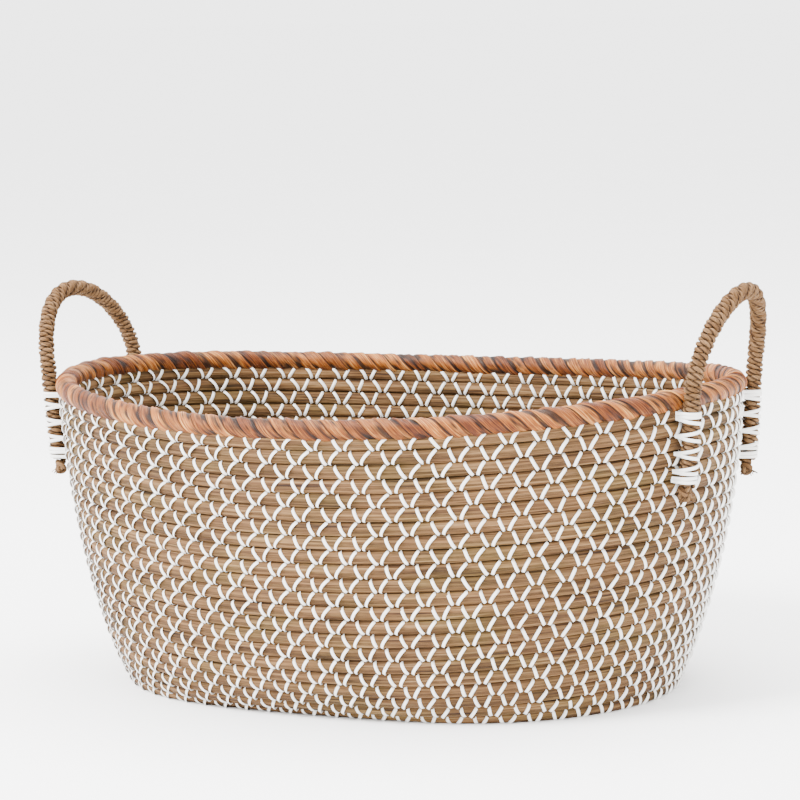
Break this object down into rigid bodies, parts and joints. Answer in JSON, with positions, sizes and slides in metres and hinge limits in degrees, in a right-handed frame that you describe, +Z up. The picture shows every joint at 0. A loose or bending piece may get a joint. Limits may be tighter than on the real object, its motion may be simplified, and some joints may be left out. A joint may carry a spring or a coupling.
{
  "type": "seagrass storage basket",
  "caption": "Oval coiled seagrass storage basket with a flared stitched wall, a bark-wrapped rim and two bendable rope handles for carrying laundry, toys or blankets.",
  "frame": {"origin": "on the floor under the middle of the base", "axes": "+X along the basket towards the right handle, +Y to the back long side, +Z up"},
  "size_m": [0.5788, 0.4028, 0.308],
  "materials": {
    "seagrass_coil": "bundles of dry seagrass blades laid side by side, tan to greenish brown, matt with a slight waxy sheen",
    "stitch_ribbon": "flat pearly white ribbon, satin",
    "bark_wrap": "thin orange-brown leaf-sheath strips wound on a slant, wrinkled, satin",
    "cane_core": "bare bundled stalk, matt",
    "seagrass_rope": "twisted seagrass cord wound side by side, matt, dark between the turns"
  },
  "bodies": {
    "basket": {"wall_course_01": "seagrass_coil", "wall_course_02": "seagrass_coil", "wall_course_03": "seagrass_coil", "wall_course_04": "seagrass_coil", "wall_course_05": "seagrass_coil", "wall_course_06": "seagrass_coil", "wall_course_07": "seagrass_coil", "wall_course_08": "seagrass_coil", "wall_course_09": "seagrass_coil", "wall_course_10": "seagrass_coil", "wall_course_11": "seagrass_coil", "wall_course_12": "seagrass_coil", "wall_course_13": "seagrass_coil", "wall_course_14": "seagrass_coil", "wall_course_15": "seagrass_coil", "wall_course_16": "seagrass_coil", "wall_course_17": "seagrass_coil", "wall_course_18": "seagrass_coil", "wall_course_19": "seagrass_coil", "wall_course_20": "seagrass_coil", "wall_course_21": "seagrass_coil", "wall_course_22": "seagrass_coil", "base_coil": "seagrass_coil", "rim_core": "cane_core", "rim_wrap": "bark_wrap", "left_front_leg_core": "cane_core", "left_front_leg_wrap": "seagrass_rope", "left_front_lashing": "stitch_ribbon", "left_front_end_knot": "seagrass_rope", "left_back_leg_core": "cane_core", "left_back_leg_wrap": "seagrass_rope", "left_back_lashing": "stitch_ribbon", "left_back_end_knot": "seagrass_rope", "right_front_leg_core": "cane_core", "right_front_leg_wrap": "seagrass_rope", "right_front_lashing": "stitch_ribbon", "right_front_end_knot": "seagrass_rope", "right_back_leg_core": "cane_core", "right_back_leg_wrap": "seagrass_rope", "right_back_lashing": "stitch_ribbon", "right_back_end_knot": "seagrass_rope"},
    "left_handle": {"left_handle_core": "cane_core", "left_handle_wrap": "seagrass_rope"},
    "right_handle": {"right_handle_core": "cane_core", "right_handle_wrap": "seagrass_rope"}
  },
  "joints": [
    {"name": "left_handle_flex", "type": "hinge", "parent": "basket", "child": "left_handle", "pos_m": [-0.26611, 0, 0.23669], "axis": [0, 1, 0], "range_deg": [-30, 30], "stiffness_Nm_per_rad": 1},
    {"name": "right_handle_flex", "type": "hinge", "parent": "basket", "child": "right_handle", "pos_m": [0.26611, 0, 0.23669], "axis": [0, 1, 0], "range_deg": [-30, 30], "stiffness_Nm_per_rad": 1}
  ]
}
